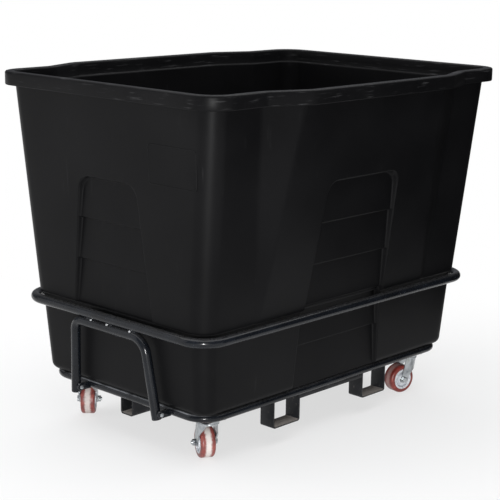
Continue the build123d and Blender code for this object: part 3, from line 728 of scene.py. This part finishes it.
# The recesses: half width at the top ledge, flare down the wall, and depth under a ledge and at
# the next one down; then the roundings of their corners, edges and ledges
end_half_top, end_flare, end_depths = 0.132, 0.125, (0.018, 0.010)
side_half_top, side_flare, side_depths = 0.176, 0.06, (0.022, 0.012)
recess_corner, recess_lip, recess_round, ledge_round = 0.045, 0.003, 0.008, 0.005


def rise(low, high, z, z_low, z_high):
    """A size that grows evenly from one height to another."""
    return low + (high - low) * (z - z_low) / (z_high - z_low)


def smooth(t):
    """An eased step from 0 to 1."""
    t = min(max(t, 0.0), 1.0)
    return t * t * (3 - 2 * t)


def recess_depth(along, z, half_top, flare, steps, deep, shallow, spread):
    """How far a stepped recess sinks into the wall: deepest under each ledge, rounded at its edges."""
    half = half_top + flare * (steps[0] - z) + spread
    side, below = half - abs(along), steps[0] + spread - z
    if side < -recess_lip or below < -recess_lip:
        return 0.0
    corner = recess_corner + spread
    inside = min(side, below)
    if side < corner and below < corner:
        inside = corner - hypot(corner - side, corner - below)
    depth = 0.0
    for k, (ledge, foot) in enumerate(zip(steps, steps[1:])):
        slope = rise(deep, shallow, z, ledge, foot)
        under = 1.0 if k == 0 else smooth((ledge + spread + ledge_round / 2 - z) / ledge_round)
        depth += under * (slope - depth)
    return depth * smooth((inside + recess_lip) / recess_round)


# Columns across the edge of a recess, close together where it bends
edge_columns = [v / 1000 for v in (14, 9, 6, 4, 2, 0, -2, -4, -6, -8.5, -12, -17, -23, -30, -38, -46)]
edge_out, edge_in = edge_columns[0], edge_columns[-1]


def fractions(start, stop, count):
    """Even steps from a start up to, but without, a stop."""
    return [start + (stop - start) * k / count for k in range(count)]


def quarter(z, plan_z, grow, lower, spread, tuck):
    """One quarter of the tub's outline at a height, from the middle of the front end to the
    middle of the left side. A tuck draws it in under the wall, but not past a deeper recess."""
    grow -= tuck
    plans = (foot_plan, neck_plan) if lower else (base_plan, mouth_plan)
    levels = (tub_floor, shoulder) if lower else (shoulder, rim_top)
    length, width, corner = [rise(low, high, plan_z, *levels) + grow for low, high in zip(*plans)]
    flank_at = shoulder if lower else plan_z
    run = rise(*flank_run, flank_at, shoulder, rim_top)
    true_swell = rise(*swell_out, flank_at, shoulder, rim_top)
    swell = 0.0 if lower else true_swell
    angle = atan2(true_swell, run)
    flank = rise(*flank_start, flank_at, shoulder, rim_top) + grow * tan(angle / 2)
    panel = flank - run
    inner, outer = max(flank_bend - grow, least_bend), flank_bend + grow
    inner_cut, outer_cut = inner * tan(angle / 2), outer * tan(angle / 2)
    bend_turns = [angle * k / bend_steps for k in range(bend_steps + 1)]

    end_half = end_half_top + end_flare * min(max(ledges[0] - z, 0.0), ledges[0] - shoulder) + spread
    columns = fractions(0.0, end_half + edge_in, 6)
    columns += [end_half + edge for edge in reversed(edge_columns)]
    columns += fractions(end_half + edge_out, width - corner, 5)[1:]
    points = []
    for along in columns:
        sunk = 0.0
        if not lower:
            sunk = recess_depth(along, z, end_half_top, end_flare, end_ledges, *end_depths, spread)
        points.append((-length + sunk, -along))
    for turn in arc:
        points.append((-length + corner * (1 - cos(turn)), -width + corner * (1 - sin(turn))))
    line = [(x, -width) for x in fractions(-length + corner, -flank - inner_cut, 5)[1:]]
    for turn in bend_turns:
        line.append((-flank - inner_cut + inner * sin(turn), -width - inner * (1 - cos(turn))))
    rest = [
        (-panel + outer_cut - outer * sin(turn), -width - swell + outer * (1 - cos(turn)))
        for turn in reversed(bend_turns)
    ]
    (x, y), (next_x, next_y) = line[-1], rest[0]
    line += [(x + (next_x - x) * k / 4, y + (next_y - y) * k / 4) for k in (1, 2, 3)]
    line += rest
    if lower:
        line = [(x, -width) for x, y in line]
    points += line
    side_half = side_half_top + side_flare * max(ledges[0] - z, 0.0) + spread
    columns = fractions(panel - outer_cut, side_half + edge_out, 6)[1:]
    columns += [side_half + edge for edge in edge_columns]
    columns += fractions(side_half + edge_in, 0.0, 8)[1:] + [0.0]
    for along in columns:
        sunk = recess_depth(along, z, side_half_top, side_flare, ledges, *side_depths, spread)
        points.append((-along, -width - swell + max(sunk - tuck, 0.0)))
    return points


def tub_row(z, plan_z, grow, lower=False, spread=0.0, tuck=0.0):
    """The whole outline at a height: the quarter and its mirror images."""
    part = quarter(z, plan_z, grow, lower, spread, tuck)
    loop = part + [(-x, y) for x, y in reversed(part[:-1])]
    loop += [(-x, -y) for x, y in part[1:]] + [(x, -y) for x, y in reversed(part[1:-1])]
    return [(x, y, z) for x, y in loop]


outer_step, inner_step, least_step = 0.030, 0.040, 0.0009


def heights(low, high, step, marks, offsets):
    """Rows up a wall: even steps, and close ones around each ledge."""
    count = max(int((high - low) / step), 1)
    found = set(fractions(low, high, count) + [high])
    found |= {mark + offset / 1000 for mark in marks for offset in offsets}
    kept = []
    for z in sorted(v for v in found if low <= v <= high):
        if not kept or z - kept[-1] > least_step:
            kept.append(z)
    return kept


# Rows around a ledge in millimetres, outside, under the top ledge's round corners, and inside
ledge_offsets = (12, 8, 5, 3.5, 2, 0.7, -0.7, -2, -3.5, -5, -8, -13)
top_offsets = ledge_offsets + (-19, -25, -31, -38, -46)
inner_offsets = (10, 5, 2, 0, -2, -5, -10)
deep_offsets = inner_offsets + (-18, -28, -40)
bottom_radius = 0.022
inside_radius = bottom_radius - tub_wall
# How far the even rows keep clear of the foot, the shoulder and the rim, outside and then inside
foot_clear, neck_clear, base_clear, rim_clear = 0.006, 0.003, 0.009, 0.050
inner_foot_clear, inner_neck_clear, inner_base_clear, inner_rim_clear = 0.001, 0.005, 0.015, 0.052
rows = []
# Round the foot and up the lower wall
for k in range(7):
    turn = radians(15 * k)
    z = tub_floor + bottom_radius * (1 - cos(turn))
    rows.append(tub_row(z, z, 0.0, True, 0.0, bottom_radius * (1 - sin(turn))))
low_z, high_z = tub_floor + bottom_radius + foot_clear, shoulder - neck_clear
for z in heights(low_z, high_z, outer_step, ledges[4:5], ledge_offsets):
    rows.append(tub_row(z, z, 0.0, True))
# The shoulder's section in metres, as (over the shoulder, out from the wall)
for over, grow in ((-0.0007, 0.0007), (0.0, 0.0025)):
    rows.append(tub_row(shoulder + over, shoulder, grow, True))
shoulder_bend = ((0.0, -0.0060), (0.0005, -0.0036), (0.0018, -0.0017), (0.0037, -0.0005), (0.0060, 0.0))
for over, grow in shoulder_bend:
    rows.append(tub_row(shoulder + over, shoulder, grow))
# Up the upper wall, with closer rows around the top ledge
for z in heights(shoulder + base_clear, rim_top - rim_clear, outer_step, ledges[1:4], ledge_offsets):
    rows.append(tub_row(z, z, 0.0))
wall_rows = {round(row[0][2], 5) for row in rows}
low_z, high_z = ledges[0] - 0.060, ledges[0] + 0.015
for z in heights(low_z, high_z, high_z - low_z, ledges[:1], top_offsets):
    if round(z, 5) not in wall_rows:
        rows.append(tub_row(z, z, 0.0))
rows.sort(key=lambda row: row[0][2])
# The rim's section in millimetres, as (below the top, out from the wall): up the wall, down the
# inside of the lip, round its foot, up its outside and over the top into the mouth
lip = [
    (11.8, 0.0),
    (8.3, 2.0),
    (8.0, 18.0),
    (11.3, 22.0),
    (41.8, 22.0),
    (44.6, 23.2),
    (45.0, 26.0),
    (44.6, 28.8),
    (41.8, 30.0),
    (6.8, 30.0),
    (3.2, 29.2),
    (0.8, 27.0),
    (0.0, 23.5),
    (0.0, 13.0),
    (0.0, 2.5),
    (0.8, -1.0),
    (3.2, -3.2),
    (6.8, -4.0),
]
for below, out in lip:
    rows.append(tub_row(rim_top - below / 1000, rim_top, out / 1000))
mouth = ((24.8, -4.0), (42.3, -4.0), (44.6, -4.8), (46.3, -6.5), (47.8, -8.0))
for below, out in mouth:
    z = rim_top - below / 1000
    rows.append(tub_row(z, z, out / 1000))
# Down the inside: the upper wall, the shoulder, the lower wall and the rounded bottom
inner_ledges = [ledge + tub_wall for ledge in ledges[:4]]
low_z, high_z = shoulder + inner_base_clear, rim_top - inner_rim_clear
for z in reversed(heights(low_z, high_z, inner_step, inner_ledges, deep_offsets)):
    rows.append(tub_row(z, z, -tub_wall, False, tub_wall))
for over, grow in ((0.0112, -0.0085), (0.0092, -0.0100), (0.0082, -0.0130)):
    rows.append(tub_row(shoulder + over, shoulder + tub_wall, grow, False, tub_wall))
low_z = tub_floor + floor_wall + inside_radius + inner_foot_clear
high_z = shoulder + inner_neck_clear
for z in reversed(heights(low_z, high_z, inner_step, [ledges[4] + tub_wall], inner_offsets)):
    rows.append(tub_row(z, z, -tub_wall, True, tub_wall))
for k in range(1, 6):
    turn = radians(90 - 18 * k)
    z = tub_floor + floor_wall + inside_radius * (1 - cos(turn))
    rows.append(tub_row(z, z, -tub_wall, True, tub_wall, inside_radius * (1 - sin(turn))))

# Skin between the rows, closed by a face under the floor and one on top of it
around = len(rows[0])
points = [p for row in rows for p in row]
faces = []
for k in range(len(rows) - 1):
    for j in range(around):
        n = (j + 1) % around
        faces.append((k * around + j, k * around + n, (k + 1) * around + n, (k + 1) * around + j))
last = (len(rows) - 1) * around
faces.append(tuple(range(around - 1, -1, -1)))
faces.append(tuple(range(last, last + around)))
mesh = bpy.data.meshes.new("tub_shell")
mesh.from_pydata(points, [], faces)
mesh.validate()
shell = bmesh.new()
shell.from_mesh(mesh)
bmesh.ops.recalc_face_normals(shell, faces=shell.faces)
shell.to_mesh(mesh)
shell.free()
mesh.materials.append(polyethylene)
mesh.polygons.foreach_set("use_smooth", [True] * len(mesh.polygons))
tub = link(bpy.data.objects.new("tub_shell", mesh))
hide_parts("tub")
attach(tub, "frame")

# Raised border on the tub's front end: the mould's empty panel frame, left bare
border_right, border_left, border_low, border_high = -0.200, -0.407, 0.913, 1.036
border_radius, border_bend, border_sunk, border_facets = 0.0022, 0.010, 0.0011, 10
border_corners = [
    (border_right, border_low),
    (border_left, border_low),
    (border_left, border_high),
    (border_right, border_high),
]
border_points = []
for y, z in border_corners:
    wall_x = -rise(base_plan[0], mouth_plan[0], z, shoulder, rim_top)
    border_points.append((wall_x + border_sunk, y, z))
border = made_by(
    tube_tree,
    path_mesh("border_path", [(border_points, True)], [border_bend] * 4),
    "front_panel_border",
    {"Tube radius": border_radius, "Facets round": border_facets, "Finish": polyethylene},
)
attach(border, "frame")

# Tub bolts: round heads on wide washers through the tub's floor, nuts under the inner bearers.
edged("tub_bolts", bolt_edge, zinc)
edged("tub_washers", washer_edge, zinc)
edged("tub_nuts", bolt_edge, zinc)

# Welds: short beads laid by hand where the tubes and bars meet, painted over with the frame.
# Each bead is a row of overlapping ripples.
weld_tree = bpy.data.node_groups.new("weld_bead", "GeometryNodeTree")
weld_tree.interface.new_socket("Path", in_out="INPUT", socket_type="NodeSocketGeometry")
weld_tree.interface.new_socket("Bead radius", in_out="INPUT", socket_type="NodeSocketFloat")
weld_tree.interface.new_socket("Ripple spacing", in_out="INPUT", socket_type="NodeSocketFloat")
weld_tree.interface.new_socket("Finish", in_out="INPUT", socket_type="NodeSocketMaterial")
weld_tree.interface.new_socket("Bead", in_out="OUTPUT", socket_type="NodeSocketGeometry")
given = add(weld_tree, "NodeGroupInput")
line = add(weld_tree, "GeometryNodeMeshToCurve", {}, {"Mesh": given.outputs["Path"]})
stepped = add(
    weld_tree,
    "GeometryNodeResampleCurve",
    {"mode": "LENGTH"},
    {"Curve": line.outputs["Curve"], "Length": given.outputs["Ripple spacing"]},
)
drop = add(
    weld_tree,
    "GeometryNodeMeshUVSphere",
    {},
    {"Segments": 10, "Rings": 6, "Radius": given.outputs["Bead radius"]},
)
uneven = add(
    weld_tree,
    "FunctionNodeRandomValue",
    {"data_type": "FLOAT_VECTOR"},
    {0: (0.80, 0.80, 0.80), 1: (1.15, 1.15, 1.15), "Seed": 7},
)
laid = add(
    weld_tree,
    "GeometryNodeInstanceOnPoints",
    {},
    {
        "Points": stepped.outputs["Curve"],
        "Instance": drop.outputs["Mesh"],
        "Scale": uneven.outputs["Value"],
    },
)
rounded = add(weld_tree, "GeometryNodeSetShadeSmooth", {}, {"Geometry": laid.outputs["Instances"]})
whole = add(weld_tree, "GeometryNodeRealizeInstances", {}, {"Geometry": rounded.outputs["Geometry"]})
painted = add(
    weld_tree,
    "GeometryNodeSetMaterial",
    {},
    {"Geometry": whole.outputs["Geometry"], "Material": given.outputs["Finish"]},
)
add(weld_tree, "NodeGroupOutput", {}, {"Bead": painted.outputs["Geometry"]})

stitch_places, stitch_half, stitch_out = (0.090, -0.005, -0.117), 0.012, 0.0045
stitches = []
for sign in (1, -1):
    seam_x = sign * (bar_x - stitch_out)
    for y in stitch_places:
        ends = [(seam_x, sign * (y + reach), hoop_bottom) for reach in (-stitch_half, stitch_half)]
        stitches.append((ends, False))
bead = made_by(
    weld_tree,
    path_mesh("support_stitches", stitches),
    "support_weld_stitches",
    {"Bead radius": 0.0052, "Ripple spacing": 0.0034, "Finish": enamel},
)
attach(bead, "frame")

# Drops of bare weld metal that the paint has left
drop_places, drop_run, drop_sag, drop_x = (0.074, -0.005, -0.114), 0.003, 0.001, bar_x - 0.011
drops = []
for y in drop_places:
    ends = [(drop_x, y, hoop_bottom), (drop_x, y + drop_run, hoop_bottom - drop_sag)]
    drops.append((ends, False))
spatter = made_by(
    weld_tree,
    path_mesh("weld_drop_path", drops),
    "bare_weld_drops",
    {"Bead radius": 0.0040, "Ripple spacing": 0.0030, "Finish": bearing_steel},
)
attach(spatter, "frame")

# Floor, light and camera: a white studio floor that runs out to white, soft boxes, a dark board
# off to the right, and the photograph's long lens from the front left corner.
far = 45
floor_corners = [(-far, -far, 0), (far, -far, 0), (far, far, 0), (-far, far, 0)]
floor_mesh = bpy.data.meshes.new("floor")
floor_mesh.from_pydata(floor_corners, [], [(0, 1, 2, 3)])
floor = link(bpy.data.objects.new("floor", floor_mesh))
paper = bpy.data.materials.new("white_studio_floor")
paper.use_nodes = True
tree = paper.node_tree
tree.nodes.clear()
away = add(
    tree,
    "ShaderNodeVectorMath",
    {"operation": "LENGTH"},
    {0: add(tree, "ShaderNodeTexCoord").outputs["Object"]},
)
fade = add(
    tree,
    "ShaderNodeMapRange",
    {"interpolation_type": "SMOOTHSTEP"},
    {"Value": away.outputs["Value"], "From Min": 0.7, "From Max": 2.2, "To Min": 0.65, "To Max": 1.0},
)
rays = add(tree, "ShaderNodeLightPath")
seen = add(
    tree,
    "ShaderNodeMath",
    {"operation": "MAXIMUM"},
    {0: rays.outputs["Is Camera Ray"], 1: rays.outputs["Is Transmission Ray"]},
)
shown = add(
    tree,
    "ShaderNodeMath",
    {"operation": "MAXIMUM"},
    {0: seen.outputs["Value"], 1: rays.outputs["Is Glossy Ray"]},
)
share = add(
    tree,
    "ShaderNodeMath",
    {"operation": "MULTIPLY"},
    {0: shown.outputs["Value"], 1: fade.outputs["Result"]},
)
sheet = add(tree, "ShaderNodeBsdfDiffuse", {}, {"Color": linear("#f4f4f4")})
white = add(tree, "ShaderNodeEmission", {}, {"Color": linear("#ffffff"), "Strength": 1.0})
both = add(
    tree,
    "ShaderNodeMixShader",
    {},
    {0: share.outputs["Value"], 1: sheet.outputs["BSDF"], 2: white.outputs["Emission"]},
)
add(tree, "ShaderNodeOutputMaterial", {}, {"Surface": both.outputs["Shader"]})
floor_mesh.materials.append(paper)

board_near, board_far, board_height = (0.2, -2.2), (1.9, 0.0), 1.7
board_corners = [(*board_near, 0), (*board_far, 0), (*board_far, board_height), (*board_near, board_height)]
board_mesh = bpy.data.meshes.new("dark_board")
board_mesh.from_pydata(board_corners, [], [(0, 1, 2, 3)])
board = link(bpy.data.objects.new("dark_board", board_mesh))
cloth, _, shader, _ = new_finish("dark_grey_cloth")
shader.inputs["Base Color"].default_value = linear("#2a2a2b")
shader.inputs["Roughness"].default_value = 1.0
board_mesh.materials.append(cloth)
board.visible_camera = False

world = bpy.data.worlds.new("studio")
bpy.context.scene.world = world
world.use_nodes = True
tree = world.node_tree
tree.nodes.clear()
room = add(tree, "ShaderNodeBackground", {}, {"Color": linear("#f2f5ff"), "Strength": 0.22})
add(tree, "ShaderNodeOutputWorld", {}, {"Surface": room.outputs["Background"]})


def soft_box(name, place, target, size, power):
    """A rectangular lamp at a place, turned to a target."""
    lamp = bpy.data.lights.new(name, "AREA")
    lamp.shape = "RECTANGLE"
    lamp.size, lamp.size_y = size
    lamp.energy = power
    made = link(bpy.data.objects.new(name, lamp))
    made.location = place
    made.rotation_mode = "QUATERNION"
    made.rotation_quaternion = (Vector(target) - Vector(place)).to_track_quat("-Z", "Y")


soft_box("top_box", (0.5, 0.1, 4.6), (0.5, 0.1, 0.0), (8.0, 7.0), 380)
soft_box("end_box", (-4.6, 3.1, 2.4), (-0.3, 0, 0.6), (4.0, 4.0), 48)
soft_box("corner_box", (-3.9, -3.6, 0.75), (-0.6, -0.4, 0.6), (0.5, 1.4), 210)

lens = bpy.data.cameras.new("camera")
lens.sensor_width = 36.0
lens.lens = 101.566
lens.shift_x, lens.shift_y = 0.0120, 0.0077
lens.clip_end = 60.0
camera = link(bpy.data.objects.new("camera", lens))
camera_place = (-3.5499, -3.3305, 1.6663)
yaw, pitch, roll = radians(43.597), radians(-12.910), radians(0.799)
ahead = Vector((cos(pitch) * cos(yaw), cos(pitch) * sin(yaw), sin(pitch)))
level = Vector((sin(yaw), -cos(yaw), 0.0))
above = level.cross(ahead)
right = level * cos(roll) + above * sin(roll)
up = above * cos(roll) - level * sin(roll)
turned_to = Matrix((right, up, -ahead)).transposed().to_4x4()
camera.matrix_world = Matrix.Translation(camera_place) @ turned_to
bpy.context.scene.camera = camera
bpy.context.scene.view_settings.view_transform = "Standard"

bpy.context.view_layer.update()
